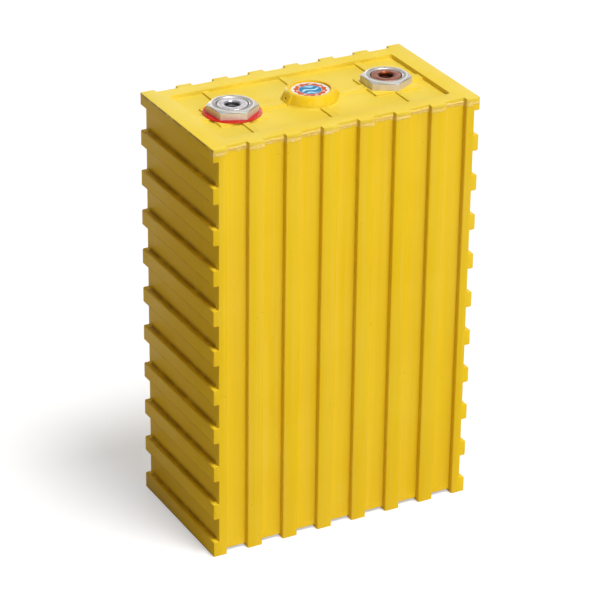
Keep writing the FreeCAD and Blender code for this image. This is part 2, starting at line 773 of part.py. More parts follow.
def make_tabs(name, middle_x):
    """Four foil bundles, two on each side of the blade, notched to drop over the screws."""
    blade_face = s.blade_thickness / 2
    bundles = []
    for turned_over in (0, 180):
        for lap in (0, 1):
            body = new_body("%s_bundle_%d" % (name, len(bundles) + 1))
            turn(body, UPRIGHT, turned_over)
            place(body, x=middle_x)
            outline = new_sketch(body, "side_view", "YZ_Plane")
            corners = tab_outline(inner_tab + pack_pitch * lap, blade_face + s.tab_thickness * lap,
                                  s.tab_thickness * (lap - 1))
            add_polygon(outline, corners)
            pad(body, "bundle", outline, s.tab_width, both_ways=True)
            notches = new_sketch(body, "notches_outline", "XZ_Plane")
            half = s.screw_diameter / 2 + s.screw_gap
            for x in (-s.screw_spacing / 2, s.screw_spacing / 2):
                add_rectangle(notches, x - half, x + half, screw_level - half, tab_top)
            pocket(body, "notches", notches, s.flange_size, both_ways=True)
            bundles.append(body)
    return grouped(name, bundles)


clamp_face = s.blade_thickness / 2 + s.tab_thickness * 2


def make_clamp_plates(name, middle_x):
    """A plate each side of the tabs: plain holes in front, tapped ones behind."""
    half = s.tab_width / 2
    plates = []
    for side, hole in ((-1, s.screw_diameter / 2 + s.screw_gap), (1, s.screw_diameter / 2)):
        body = new_body("%s_%d" % (name, len(plates) + 1))
        low = clamp_face if side > 0 else -clamp_face - s.plate_thickness
        place(body, x=middle_x)
        box_pad(body, "plate", [(-half, half, low, low + s.plate_thickness)],
                blade_bottom + s.tab_thickness, tab_top)
        holes = new_sketch(body, "holes_outline", "XZ_Plane")
        for x in (-s.screw_spacing / 2, s.screw_spacing / 2):
            add_circle(holes, hole, x, screw_level)
        pocket(body, "holes", holes, s.flange_size, both_ways=True)
        plates.append(body)
    return grouped(name, plates)


def make_clamp_screws(name, middle_x):
    """Two socket screws through plate, tabs and blade."""
    screws = []
    for x in (-s.screw_spacing / 2, s.screw_spacing / 2):
        body = new_body("%s_%d" % (name, len(screws) + 1))
        turn(body, FreeCAD.Vector(1, 0, 0), 90)
        seat = clamp_face + s.plate_thickness
        place(body, x=middle_x + x, y=-seat, z=screw_level)
        shank = s.screw_diameter / 2
        turned(body, "Revolution", "screw", (
            (0, seat * -2), (shank, seat * -2), (shank, 0), (s.head_diameter / 2, 0),
            (s.head_diameter / 2, s.head_height), (0, s.head_height)))
        socket = new_sketch(body, "socket_outline", level=s.head_height)
        add_hexagon(socket, s.socket_size)
        pocket(body, "socket", socket, s.socket_depth)
        screws.append(body)
    return grouped(name, screws)


# ---- assembly ----

def make_terminal_group(sign, middle_x, nut_bottom, nut_turn):
    """Everything that one terminal is made of."""
    return [
        make_terminal(sign + "_terminal", middle_x, nut_bottom),
        make_nut(sign + "_nut", middle_x, nut_bottom, nut_turn),
        make_gasket(sign + "_gasket", middle_x),
        make_tabs(sign + "_tabs", middle_x),
        make_clamp_plates(sign + "_clamp_plates", middle_x),
        make_clamp_screws(sign + "_clamp_screws", middle_x),
    ]


def make_all():
    nodes = [make_case(), make_lid()]
    nodes += make_terminal_group("positive", -terminal_x, relief_top + s.ring_height, s.positive_nut_turn)
    nodes += make_terminal_group("negative", terminal_x, relief_top, s.negative_nut_turn)
    nodes += [
        make_ring(), make_vent_cap(), make_vent_label(), make_cap_seal(), make_poppet(), make_valve_rubber(),
        make_retainer(), make_spring(), make_floor_pad(), make_sleeve(), make_cover_plate(),
    ]
    nodes += [make_pack(index) for index in range(int(s.pack_count.value))]
    return nodes


def write_steps(nodes):
    """Checks every object, then writes one file for each node."""
    doc.recompute()
    failed = [item.Label for item in doc.Objects
              if "Invalid" in item.State or "Error" in item.State]
    if failed:
        raise RuntimeError("failed objects: " + ", ".join(failed))
    for node in nodes:
        if node.Shape.isNull() or not node.Shape.isValid():
            raise RuntimeError("bad shape: " + node.Label)
    os.makedirs("parts", exist_ok=True)
    for node in nodes:
        node.Shape.exportStep(os.path.join("parts", node.Label + ".step"))
        box = node.Shape.BoundBox
        print("%-24s solids %d  volume %10.1f  x %7.2f %7.2f  y %7.2f %7.2f  z %7.2f %7.2f" % (
            node.Label, len(node.Shape.Solids), node.Shape.Volume,
            box.XMin, box.XMax, box.YMin, box.YMax, box.ZMin, box.ZMax))


write_steps(make_all())
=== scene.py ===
import json
import math

import bmesh
import bpy
from mathutils import Matrix, Vector, noise


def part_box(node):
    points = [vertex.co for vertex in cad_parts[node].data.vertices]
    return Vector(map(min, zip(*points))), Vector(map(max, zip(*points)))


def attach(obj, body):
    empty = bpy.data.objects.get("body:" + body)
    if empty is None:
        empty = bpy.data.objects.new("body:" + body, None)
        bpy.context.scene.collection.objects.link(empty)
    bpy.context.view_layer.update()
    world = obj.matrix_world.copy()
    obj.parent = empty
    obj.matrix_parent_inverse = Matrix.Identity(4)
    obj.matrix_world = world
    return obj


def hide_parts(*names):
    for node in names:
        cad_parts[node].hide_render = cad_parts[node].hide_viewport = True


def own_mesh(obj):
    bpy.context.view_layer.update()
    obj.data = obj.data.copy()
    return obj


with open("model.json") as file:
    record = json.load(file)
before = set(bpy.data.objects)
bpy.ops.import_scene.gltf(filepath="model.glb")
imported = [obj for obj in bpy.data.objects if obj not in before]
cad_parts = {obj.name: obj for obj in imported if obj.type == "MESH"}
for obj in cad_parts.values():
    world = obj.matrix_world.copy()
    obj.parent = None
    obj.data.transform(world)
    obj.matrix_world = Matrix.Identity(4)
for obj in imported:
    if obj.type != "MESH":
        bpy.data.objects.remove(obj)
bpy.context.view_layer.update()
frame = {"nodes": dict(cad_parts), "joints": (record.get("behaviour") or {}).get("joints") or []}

# Prismatic battery cell: moulded yellow case and lid, two terminals, a relief valve between
# them and the plate packs inside. Metres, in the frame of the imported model.

MM = 0.001
nodes = frame["nodes"]


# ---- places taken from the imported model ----

case_low, case_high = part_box("case")
JOINT = case_high.z                      # where the lid is welded on
LID_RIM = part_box("lid")[1].z
HALF_WIDTH = case_high.x

# upright ribs on the broad faces
RIB_DEPTH = 2.9 * MM
PANEL_FRONT = case_low.y + RIB_DEPTH     # face of the panels between the ribs
RIB_COUNT = 8
CORNER_RIB_INSET = 3.25 * MM
RIB_PITCH = (2 * HALF_WIDTH - 2 * CORNER_RIB_INSET) / (RIB_COUNT - 1)
RIB_WIDTH = 8.0 * MM

# level ribs on the narrow sides, below the lip of the lid
WALL_SIDE = HALF_WIDTH - RIB_DEPTH
LIP_HEIGHT = 6.6 * MM
BAND_COUNT = 10
BAND_PITCH = (LID_RIM - LIP_HEIGHT) / BAND_COUNT
BAND_HEIGHT = 8.25 * MM

# terminals and valve
BOLT_HOLE_RADIUS = 3.4 * MM
POST_RADIUS = 7.8 * MM
POPPET_GUIDE = 4.5 * MM                  # guide on the poppet, inside the spring
RETAINER_SPIGOT = 1.5 * MM               # spigot of the retainer, in the spring's other end


def middle(node):
    low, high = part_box(node)
    return (low + high) / 2


def top_of(node):
    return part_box(node)[1].z


def bottom_of(node):
    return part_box(node)[0].z


def rib_middle(index):
    """X of an upright rib, counted from the left end of a broad face."""
    return -HALF_WIDTH + CORNER_RIB_INSET + index * RIB_PITCH


# ---- camera, light and floor ----

def make_camera():
    """Long lens, a little above the cell and to its left."""
    turn, tilt, roll = math.radians(-28.466), math.radians(26.558), math.radians(0.738)
    target = Vector((-4.129, 0, 108.875)) * MM
    distance = 1409.85 * MM
    back = Vector((math.sin(turn) * math.cos(tilt), -math.cos(turn) * math.cos(tilt), math.sin(tilt)))
    right = Vector((math.cos(turn), math.sin(turn), 0))
    up = back.cross(right)
    rolled_right = right * math.cos(roll) + up * math.sin(roll)
    rolled_up = up * math.cos(roll) - right * math.sin(roll)
    lens = bpy.data.cameras.new("camera")
    lens.sensor_width = 36
    lens.lens = 170.65
    lens.clip_start = 0.05
    lens.clip_end = 50
    camera = bpy.data.objects.new("camera", lens)
    turned = Matrix((rolled_right, rolled_up, back)).transposed().to_4x4()
    camera.matrix_world = Matrix.Translation(target + back * distance) @ turned
    bpy.context.collection.objects.link(camera)
    bpy.context.scene.camera = camera


def make_sun(name, towards, strength, spread, colour=(1, 1, 1)):
    """Soft even light from the direction of a vector."""
    lamp = bpy.data.lights.new(name, "SUN")
    lamp.energy = strength * math.pi
    lamp.color = colour
    lamp.angle = math.radians(spread)
    sun = bpy.data.objects.new(name, lamp)
    sun.rotation_euler = Vector(towards).to_track_quat("Z", "Y").to_euler()
    bpy.context.collection.objects.link(sun)


# ---- shader kit ----

class Wire:
    """A shader socket. Sums, products and powers of wires add Math nodes to their material."""

    def __init__(self, finish, socket):
        self.finish = finish
        self.socket = socket

    def math(self, operation, *inputs):
        return self.finish.node("ShaderNodeMath", {"operation": operation}, dict(enumerate(inputs)))

    def __add__(self, other):
        return self.math("ADD", self, other)

    def __sub__(self, other):
        return self.math("SUBTRACT", self, other)

    def __rsub__(self, other):
        return self.math("SUBTRACT", other, self)

    def __mul__(self, other):
        return self.math("MULTIPLY", self, other)

    def __truediv__(self, other):
        return self.math("DIVIDE", self, other)

    def __pow__(self, other):
        return self.math("POWER", self, other)

    def __abs__(self):
        return self.math("ABSOLUTE", self)

    __radd__ = __add__
    __rmul__ = __mul__

    def fraction(self):
        return self.math("FRACT", self)

    def sine(self):
        return self.math("SINE", self)

    def most(self, other):
        return self.math("MAXIMUM", self, other)

    def step(self, low, high):
        """0 below low, 1 above high, smooth between; the other way round where low is above high."""
        return self.finish.node(
            "ShaderNodeMapRange", {"interpolation_type": "SMOOTHSTEP"},
            {"Value": self, "From Min": low, "From Max": high, "To Min": 0.0, "To Max": 1.0})


class Finish:
    """A new material, or the given node tree, filled in by nodes that are joined as wires."""

    def __init__(self, name, tree=None):
        self.material = None
        if tree is None:
            self.material = bpy.data.materials.new(name)
            self.material.use_nodes = True
            tree = self.material.node_tree
        self.tree = tree
        self.tree.nodes.clear()

    def node(self, kind, settings=None, inputs=None, output=0):
        """Adds a node: its settings first, then the number, colour or wire of each socket."""
        new = self.tree.nodes.new(kind)
        for name, value in (settings or {}).items():
            setattr(new, name, value)
        for key, value in (inputs or {}).items():
            socket = self.pick(new.inputs, key)
            if isinstance(value, Wire):
                self.tree.links.new(value.socket, socket)
            else:
                socket.default_value = value
        if output is None:
            return None
        return Wire(self, self.pick(new.outputs, output))

    @staticmethod
    def pick(sockets, key):
        shown = [socket for socket in sockets if socket.enabled]
        if isinstance(key, int):
            return shown[key]
        return next(socket for socket in shown if socket.name == key)

    def place(self, centre=(0, 0, 0), stretch=(1, 1, 1)):
        """Object coordinates from a centre, stretched for a drawn-out pattern."""
        here = self.node("ShaderNodeTexCoord", output="Object")
        moved = self.node("ShaderNodeVectorMath", {"operation": "SUBTRACT"}, {0: here, 1: centre})
        return self.node("ShaderNodeVectorMath", {"operation": "MULTIPLY"}, {0: moved, 1: stretch})

    def along(self, axis, centre=(0, 0, 0)):
        return self.node("ShaderNodeSeparateXYZ", inputs={0: self.place(centre)}, output=axis)

    def noise(self, scale, detail=3.0, stretch=(1, 1, 1), centre=(0, 0, 0)):
        """Cloudy noise, about 0.3 to 0.7; scale is lumps per metre."""
        return self.node("ShaderNodeTexNoise", inputs={
            "Vector": self.place(centre, stretch), "Scale": scale, "Detail": detail})

    def grains(self, scale):
        """Distance to the nearest of scattered points, 0 at a point."""
        return self.node("ShaderNodeTexVoronoi", inputs={
            "Vector": self.place(), "Scale": scale}, output="Distance")

    def blend(self, factor, first, second):
        return self.node("ShaderNodeMix", {"data_type": "RGBA"}, {
            "Factor": factor, "A": colour_of(first), "B": colour_of(second)})

    def bump(self, height, depth, strength):
        return self.node("ShaderNodeBump", inputs={
            "Height": height, "Distance": depth, "Strength": strength})

    def shade(self, **sockets):
        """Ends the material in a Principled shader; a name's underscores stand for spaces."""
        inputs = {}
        for name, value in sockets.items():
            socket = "Specular IOR Level" if name == "specular" else name.replace("_", " ").title()
            inputs[socket] = colour_of(value)
        surface = self.node("ShaderNodeBsdfPrincipled", inputs=inputs)
        self.node("ShaderNodeOutputMaterial", inputs={"Surface": surface}, output=None)
        return self.material


def colour_of(value):
    """Three numbers become a colour; anything else is left as it is."""
    if isinstance(value, tuple) and len(value) == 3:
        return value + (1.0,)
    return value


# ---- finishes ----

YELLOW = (0.800, 0.562, 0.020)
RICH_YELLOW = (0.770, 0.515, 0.009)
PALE_YELLOW = (0.830, 0.590, 0.090)
# paler and greener than the case: partly the lid moulding's own tint, partly a painted sheen for the light
# on its top
LID_TINT_AND_SHEEN = (0.810, 0.635, 0.072)
PALE_LID = (0.84, 0.67, 0.13)
CAP_TOP = (0.79, 0.53, 0.006)
# painted shade: dark brown for the shade on the side ribs and the lid's narrow ends
SHADE_BROWN = (0.24, 0.095, 0.008)
FLASH_COLOUR = (0.84, 0.63, 0.18)
DEEP_FLASH = (0.80, 0.56, 0.06)
PALE_FLASH = (0.88, 0.72, 0.40)
FLASH_DIRT = (0.50, 0.33, 0.10)
# painted shadow: brown for the line just under the lid's edge
SEAM_SHADOW_BROWN = (0.38, 0.21, 0.01)

# stretch of a pattern that runs up and down, as the plastic flowed in the mould
UPRIGHT_FLOW = (1, 1, 0.02)


def metal(name, colour, darker, roughness, scratch_stretch=(1, 1, 1)):
    """Worn bare metal: cloudy tarnish, fine scratches and a rough patchy polish."""
    finish = Finish(name)
    tarnish = finish.noise(260, 4).step(0.35, 0.68)
    scratches = finish.noise(900, 2, scratch_stretch)
    paint = finish.blend(tarnish, colour, darker)
    polish = tarnish * 0.12 + scratches * 0.16 + (roughness - 0.10)
    relief = finish.bump(scratches, 0.02 * MM, 0.5)
    return finish.shade(base_color=paint, metallic=1.0, roughness=polish, normal=relief)


def radius_from(finish, centre):
    """Distance from an upright axis."""
    x = finish.along("X", centre)
    y = finish.along("Y", centre)
    return (x * x + y * y) ** 0.5


def ledge_painted_shade(finish, level):
    """Painted shade on the narrow sides: a thin dark line where the top of each side rib meets the wall, the
    ledge top darker towards the wall, and a painted shadow line at each rib's lower edge.
    """
    side = abs(finish.along("X"))
    place = (level / BAND_PITCH).fraction() * BAND_PITCH
    rise = place - BAND_HEIGHT
    wavy = finish.noise(120, 3).step(0.30, 0.62) * 0.5 + 0.5
    on_wall = side.step(WALL_SIDE + 0.35 * MM, WALL_SIDE + 0.05 * MM)
    # painted shade on the wall just above each ledge
    above = rise.step(3.0 * MM, 0.0) * rise.step(-0.4 * MM, -0.1 * MM) * on_wall
    # painted shadow on each ledge top, darkest by the wall
    on_ledge = abs(rise).step(0.25 * MM, 0.05 * MM)
    outwards = side.step(WALL_SIDE + 3.4 * MM, WALL_SIDE + 0.4 * MM)
    outwards = outwards * side.step(WALL_SIDE - 0.6 * MM, WALL_SIDE - 0.2 * MM)
    # painted shadow line along each rib's lower outer edge
    low_edge = place.step(0.95 * MM, 0.45 * MM) * side.step(WALL_SIDE + 2.0 * MM, WALL_SIDE + 2.5 * MM)
    below_lip = level.step(JOINT - 5.5 * MM, JOINT - 6.5 * MM)
    behind_front = abs(finish.along("Y")).step(-PANEL_FRONT, -PANEL_FRONT - 0.6 * MM)
    return above.most(on_ledge * outwards).most(low_edge) * wavy * below_lip * behind_front * 0.62


def post_metal(name, node, colour, darker, roughness):
    """Turned post end: fine and coarse rings, stained, with painted shade inside the bolt hole and a painted
    shade ring round the edge of the end, where it meets the nut.
    """
    finish = Finish(name)
    centre = tuple(middle(node))
    radius = radius_from(finish, centre)
    wobble = finish.noise(500, 2, centre=centre) * (0.3 * MM)
    rings = ((radius + wobble) * (2 * math.pi / (0.55 * MM))).sine() * 0.5 + 0.5
    coarse = ((radius + wobble) * (2 * math.pi / (1.9 * MM))).sine() * 0.5 + 0.5
    tarnish = finish.noise(330, 4, centre=centre).step(0.38, 0.66)
    # painted shade inside the bolt hole
    inside = radius.step(BOLT_HOLE_RADIUS + 0.6 * MM, BOLT_HOLE_RADIUS + 0.1 * MM)
    # painted shade in the narrow gap between the edge of the post end and the nut
    seam = radius.step(POST_RADIUS - 0.7 * MM, POST_RADIUS - 0.1 * MM)
    paint = finish.blend(tarnish * 0.50 + coarse * 0.50, colour, darker)
    paint = finish.blend(inside * 0.80, paint, tuple(part * 0.22 for part in darker))
    paint = finish.blend(seam * 0.70, paint, tuple(part * 0.30 for part in darker))
    polish = rings * 0.08 + tarnish * 0.14 + inside * 0.10 + (roughness - 0.08)
    relief = finish.bump(rings * 0.6 + coarse, 0.03 * MM, 0.6)
    return finish.shade(base_color=paint, metallic=1.0, roughness=polish, normal=relief)


def nut_zinc(name, node):
    """Zinc plate: a top flat with rings from brushing, painted dark as shade for its dim reflection; a
    bright turned corner chamfer with a painted highlight ring; and duller sides.
    """
    finish = Finish(name)
    centre = tuple(middle(node))
    radius = radius_from(finish, centre)
    top = top_of(node)
    level = finish.along("Z")
    wobble = finish.noise(420, 3, centre=centre) * (0.5 * MM)
    rings = ((radius + wobble) * (2 * math.pi / (0.80 * MM))).sine() * 0.5 + 0.5
    tarnish = finish.noise(300, 4, centre=centre).step(0.34, 0.68)
    flat = level.step(top - 0.10 * MM, top - 0.03 * MM)
    chamfer = level.step(top - 1.15 * MM, top - 0.85 * MM) * (1 - flat)
    # painted highlight: a pale ring on the corner chamfer
    rim = radius.step(9.6 * MM, 10.0 * MM) * radius.step(10.6 * MM, 10.2 * MM)
    rim = rim * level.step(top - 0.8 * MM, top - 0.4 * MM)
    # the top flat, with rings from brushing and tarnish, painted dark as shade for its dim reflection
    brushed_shaded_flat = finish.blend(rings * 0.4 + tarnish * 0.6, (0.285, 0.265, 0.240), (0.185, 0.168, 0.150))
    paint = finish.blend(tarnish * 0.6, (0.68, 0.62, 0.57), (0.56, 0.50, 0.45))
    paint = finish.blend(flat, paint, brushed_shaded_flat)
    paint = finish.blend(chamfer, paint, (0.38, 0.37, 0.35))
    paint = finish.blend(rim * 0.6, paint, (0.66, 0.64, 0.61))
    polish = tarnish * 0.14 + rim * -0.10 + 0.38
    relief = finish.bump(rings * 0.4 + finish.noise(900, 2) * 0.6, 0.03 * MM, 0.6)
    bare = flat.most(chamfer) * 0.60 + 0.40
    return finish.shade(base_color=paint, metallic=bare, roughness=polish, normal=relief)


def weld_marks(finish, paint, height, polish):
    """Marks of the case: painted shade on the side ribs, the ragged flash of the weld to the lid, and a
    painted shadow line just under the lid.
    """
    level = finish.along("Z")
    # painted shade on the side ribs
    paint = finish.blend(ledge_painted_shade(finish, level), paint, SHADE_BROWN)
    ragged = finish.noise(330, 4) * (3.0 * MM) + finish.noise(1500, 2) * (0.6 * MM)
    broad_face = abs(finish.along("Y")).step(-PANEL_FRONT - 0.5 * MM, -PANEL_FRONT - 0.2 * MM)
    flash = (level + ragged).step(JOINT - 0.60 * MM, JOINT + 0.10 * MM) * broad_face
    lumps = finish.noise(900, 3)
    paint = finish.blend(flash * lumps.step(0.25, 0.60), paint, FLASH_COLOUR)
    paint = finish.blend(flash * finish.noise(620, 3).step(0.56, 0.66) * 0.7, paint, PALE_FLASH)
    paint = finish.blend(flash * finish.noise(700, 2).step(0.63, 0.72) * 0.35, paint, FLASH_DIRT)
    # painted shadow line on the case just under the lid's edge, broken by noise
    seam = level.step(JOINT - 0.55 * MM, JOINT - 0.15 * MM) * finish.noise(210, 3).step(0.36, 0.58)
    paint = finish.blend(seam * 0.32, paint, SEAM_SHADOW_BROWN)
    return paint, height + flash * lumps * 0.9, polish + flash * 0.15


def lid_marks(finish, paint, height, polish):
    """Painted shade on the lid: a dark line under its top edge at the narrow sides."""
    level = finish.along("Z")
    side = abs(finish.along("X"))
    under_top = level.step(LID_RIM - 0.15 * MM, LID_RIM - 0.40 * MM)
    under_top = under_top * level.step(JOINT + 0.1 * MM, JOINT + 0.7 * MM)
    ragged = finish.noise(260, 3).step(0.30, 0.55)
    # painted shade on the narrow ends, broken into ragged patches
    end_shade = under_top * side.step(HALF_WIDTH - 0.5 * MM, HALF_WIDTH - 0.1 * MM) * ragged * 0.75
    return finish.blend(end_shade, paint, SHADE_BROWN), height, polish


def moulded_plastic(name, colour, richer, paler, flow=(1, 1, 1), grain=0.012, dullness=0.36,
                    gloss=0.12, marks=None):
    """Satin polypropylene: cloudy colour, flow lines, scuffs, dust specks and a fine grain."""
    finish = Finish(name)
    cloud = finish.noise(24, 3).step(0.34, 0.66)
    lines = finish.noise(520, 2, flow).step(0.36, 0.70)
    scuffs = finish.noise(95, 5, (1.0, 1.0, 0.35)).step(0.60, 0.74) * finish.noise(900, 2).step(0.45, 0.7)
    specks = finish.grains(260).step(0.13, 0.06) * finish.noise(60, 1).step(0.60, 0.68)
    paint = finish.blend(cloud * 0.55 + lines * 0.25, colour, richer)
    paint = finish.blend(lines * 0.30 + scuffs * 0.45, paint, paler)
    paint = finish.blend(specks * 0.30, paint, tuple(part * 0.30 for part in richer))
    height = finish.noise(2600, 2) * grain + lines * 0.012 + finish.noise(45, 2) * 0.25
    polish = cloud * 0.06 + lines * 0.05 + scuffs * 0.16 + dullness
    if marks:
        paint, height, polish = marks(finish, paint, height, polish)
    relief = finish.bump(height, 0.5 * MM, 0.7)
    return finish.shade(base_color=paint, roughness=polish, normal=relief, specular=gloss)


def label_print():
    """White disc with a broken orange ring and a blue middle crossed by pale waves."""
    finish = Finish("label_print")
    centre = tuple(middle("vent_label"))
    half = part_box("vent_label")[1].x
    x = finish.along("X", centre) / half
    y = finish.along("Y", centre) / half
    radius = (x * x + y * y) ** 0.5
    angle = finish.node("ShaderNodeMath", {"operation": "ARCTAN2"}, {0: y, 1: x})
    petals = (angle * 14).sine() * 0.035
    ring = radius.step(0.60, 0.62) * (radius + petals).step(0.86, 0.83)
    gaps = (angle * 7).sine().step(0.55, 0.70) * radius.step(0.64, 0.66) * radius.step(0.76, 0.74)
    blue = radius.step(0.60, 0.58)
    wave = (y + (x * 8.0).sine() * 0.09 + finish.noise(300, 2) * 0.20) * 15.0
    stripes = wave.sine().step(0.10, 0.50) * radius.step(0.52, 0.48)
    ink = finish.noise(2200, 2)
    paint = finish.blend(ring, (0.80, 0.81, 0.80), (0.62, 0.080, 0.005))
    paint = finish.blend(gaps, paint, (0.70, 0.62, 0.50))
    paint = finish.blend(blue, paint, (0.004, 0.190, 0.46))
    paint = finish.blend(stripes, paint, (0.42, 0.74, 0.84))
    paint = finish.blend(ink.step(0.60, 0.75) * 0.25, paint, (0.55, 0.52, 0.45))
    relief = finish.bump(ink, 0.02 * MM, 0.4)
    return finish.shade(base_color=paint, roughness=ink * 0.15 + 0.40, normal=relief, specular=0.08)


def red_plastic():
    """Glossy red ring with a paler worn rim."""
    finish = Finish("red_ring_plastic")
    centre = tuple(middle("positive_ring"))
    radius = radius_from(finish, centre)
    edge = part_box("positive_ring")[1].x - centre[0]
    worn = radius.step(edge - 1.0 * MM, edge) * finish.noise(700, 3).step(0.3, 0.7)
    cloud = finish.noise(400, 3).step(0.35, 0.65)
    paint = finish.blend(cloud, (0.64, 0.016, 0.007), (0.42, 0.010, 0.005))
    paint = finish.blend(worn * 0.20, paint, (0.75, 0.10, 0.05))
    relief = finish.bump(finish.noise(900, 2), 0.05 * MM, 0.5)
    return finish.shade(base_color=paint, roughness=cloud * 0.12 + 0.26, normal=relief, specular=0.14)


def rubber(name):
    finish = Finish(name)
    bloom = finish.noise(420, 4).step(0.40, 0.70)
    paint = finish.blend(bloom, (0.018, 0.018, 0.018), (0.055, 0.053, 0.050))
    relief = finish.bump(finish.noise(3000, 2), 0.03 * MM, 0.6)
    return finish.shade(base_color=paint, roughness=bloom * 0.15 + 0.60, normal=relief)


def foil_bundle(name, colour, darker):
    """Pressed foils: fine edges of the sheets across the bundle and pressed creases."""
    finish = Finish(name)
    sheets = (finish.along("Y") * (2 * math.pi / (0.16 * MM))).sine() * 0.5 + 0.5
    creases = finish.noise(300, 4, (1.0, 1.0, 0.4))
    paint = finish.blend(sheets * 0.5 + creases * 0.4, colour, darker)
    relief = finish.bump(sheets * 0.4 + creases, 0.06 * MM, 0.7)
    return finish.shade(base_color=paint, metallic=1.0, roughness=creases * 0.25 + 0.25, normal=relief)


def separator_pack():
    """Wrapped stack: soft white film with the edges of the sheets showing through."""
    finish = Finish("separator_pack")
    sheets = (finish.along("Y") * (2 * math.pi / (0.55 * MM))).sine() * 0.5 + 0.5
    folds = finish.noise(40, 4, (1.0, 1.0, 0.5))
    electrolyte = finish.noise(18, 3).step(0.42, 0.66)
    paint = finish.blend(sheets, (0.78, 0.79, 0.78), (0.34, 0.34, 0.35))
    paint = finish.blend(electrolyte * 0.5, paint, (0.60, 0.60, 0.56))
    relief = finish.bump(sheets * 0.5 + folds, 0.25 * MM, 0.6)
    return finish.shade(base_color=paint, roughness=electrolyte * -0.2 + 0.62, normal=relief)


def white_insulator():
    finish = Finish("white_insulator")
    cloud = finish.noise(60, 3).step(0.35, 0.68)
    paint = finish.blend(cloud, (0.80, 0.80, 0.77), (0.70, 0.70, 0.66))
    relief = finish.bump(finish.noise(1800, 3), 0.04 * MM, 0.5)
    return finish.shade(base_color=paint, roughness=cloud * 0.12 + 0.45, normal=relief)


def valve_plastic():
    finish = Finish("valve_plastic")
    cloud = finish.noise(300, 3).step(0.35, 0.68)
    paint = finish.blend(cloud, (0.74, 0.74, 0.70), (0.62, 0.61, 0.57))
    relief = finish.bump(finish.noise(3500, 2), 0.03 * MM, 0.5)
    return finish.shade(base_color=paint, roughness=cloud * 0.12 + 0.40, normal=relief)


# ---- studio ----

FLOOR_COLOUR = (0.50, 0.435, 0.37)       # what the floor throws back on the object
SEEN_FLOOR = (0.62, 0.62, 0.62)          # what the camera and reflections see
FLOOR_GLOW = 0.42
SKY_LIGHT = 0.11
WARM_SKY = (1.0, 0.78, 0.52)


def seen_rays(finish):
    """1 for the rays of the camera, of reflections and through clear things; 0 for the rest."""
    rays = finish.node("ShaderNodeLightPath", output="Is Camera Ray")
    rays = rays.most(finish.node("ShaderNodeLightPath", output="Is Glossy Ray"))
    return rays.most(finish.node("ShaderNodeLightPath", output="Is Transmission Ray"))


def make_floor():
    """Pale floor that reads white to the camera and in reflections, and keeps the shadow."""
    mesh = bpy.data.meshes.new("floor")
    form = bmesh.new()
    bmesh.ops.create_grid(form, x_segments=2, y_segments=2, size=6)
    form.to_mesh(mesh)
    form.free()
    floor = bpy.data.objects.new("floor", mesh)
    bpy.context.collection.objects.link(floor)
    finish = Finish("floor_card")
    rays = seen_rays(finish)
    colour = finish.blend(rays, FLOOR_COLOUR, SEEN_FLOOR)
    card = finish.node("ShaderNodeBsdfDiffuse", inputs={"Color": colour})
    glow = finish.node("ShaderNodeEmission", inputs={
        "Color": (0.95, 1.0, 1.07, 1.0), "Strength": rays * FLOOR_GLOW})
    both = finish.node("ShaderNodeAddShader", inputs={0: card, 1: glow})
    finish.node("ShaderNodeOutputMaterial", inputs={"Surface": both}, output=None)
    floor.data.materials.append(finish.material)


def make_world():
    world = bpy.data.worlds.new("studio")
    world.use_nodes = True
    bpy.context.scene.world = world
    finish = Finish("studio", world.node_tree)
    rays = seen_rays(finish)
    strength = rays * (1.0 - SKY_LIGHT) + SKY_LIGHT
    tint = finish.blend(rays, WARM_SKY, (1.0, 1.0, 1.0))
    sky = finish.node("ShaderNodeBackground", inputs={"Color": tint, "Strength": strength})
    finish.node("ShaderNodeOutputWorld", inputs={"Surface": sky}, output=None)


# ---- pieces ----

def new_piece(name, form, finish, body):
    """Turns a bmesh into a piece that rides on a body."""
    mesh = bpy.data.meshes.new(name)
    form.to_mesh(mesh)
    form.free()
    mesh.materials.append(finish)
    piece = bpy.data.objects.new(name, mesh)
    bpy.context.collection.objects.link(piece)
    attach(piece, body)
    return piece


def smooth(piece):
    for face in piece.data.polygons:
        face.use_smooth = True


def round_edges(piece, width, segments=2, least_angle=28):
    """Small rounded edges, with the flats kept flat to the light."""
    smooth(piece)
    bevel = piece.modifiers.new("rounded_edges", "BEVEL")
    bevel.width = width
    bevel.segments = segments
    bevel.limit_method = "ANGLE"
    bevel.angle_limit = math.radians(least_angle)
    bevel.use_clamp_overlap = True
    bevel.harden_normals = True


def rounded_copy(name, node, width, finish, body, segments=2, least_angle=28):
    """A merged copy of a CAD node with rounded edges, standing for that node."""
    form = bmesh.new()
    form.from_mesh(nodes[node].data)
    bmesh.ops.remove_doubles(form, verts=form.verts, dist=0.001 * MM)
    bmesh.ops.dissolve_limit(form, angle_limit=math.radians(0.5), verts=form.verts, edges=form.edges)
    piece = new_piece(name, form, finish, body)
    round_edges(piece, width, segments, least_angle)
    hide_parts(node)
    return piece


def dress(finish, *names):
    """Gives CAD nodes a finish."""
    for name in names:
        mesh = nodes[name].data
        mesh.materials.clear()
        mesh.materials.append(finish)


def swept_ring_section(form, radius, wire, sides):
    """A small circle of vertices and edges, standing at a radius on +X."""
    made = bmesh.ops.create_circle(form, segments=sides, radius=wire)
    turned = Matrix.Rotation(math.pi / 2, 4, "X")
    bmesh.ops.transform(form, matrix=Matrix.Translation((radius, 0, 0)) @ turned, verts=made["verts"])
    return made["verts"], list({edge for vert in made["verts"] for edge in vert.link_edges})


def close_ends(form):
    bmesh.ops.holes_fill(form, edges=form.edges)
    bmesh.ops.recalc_face_normals(form, faces=form.faces)


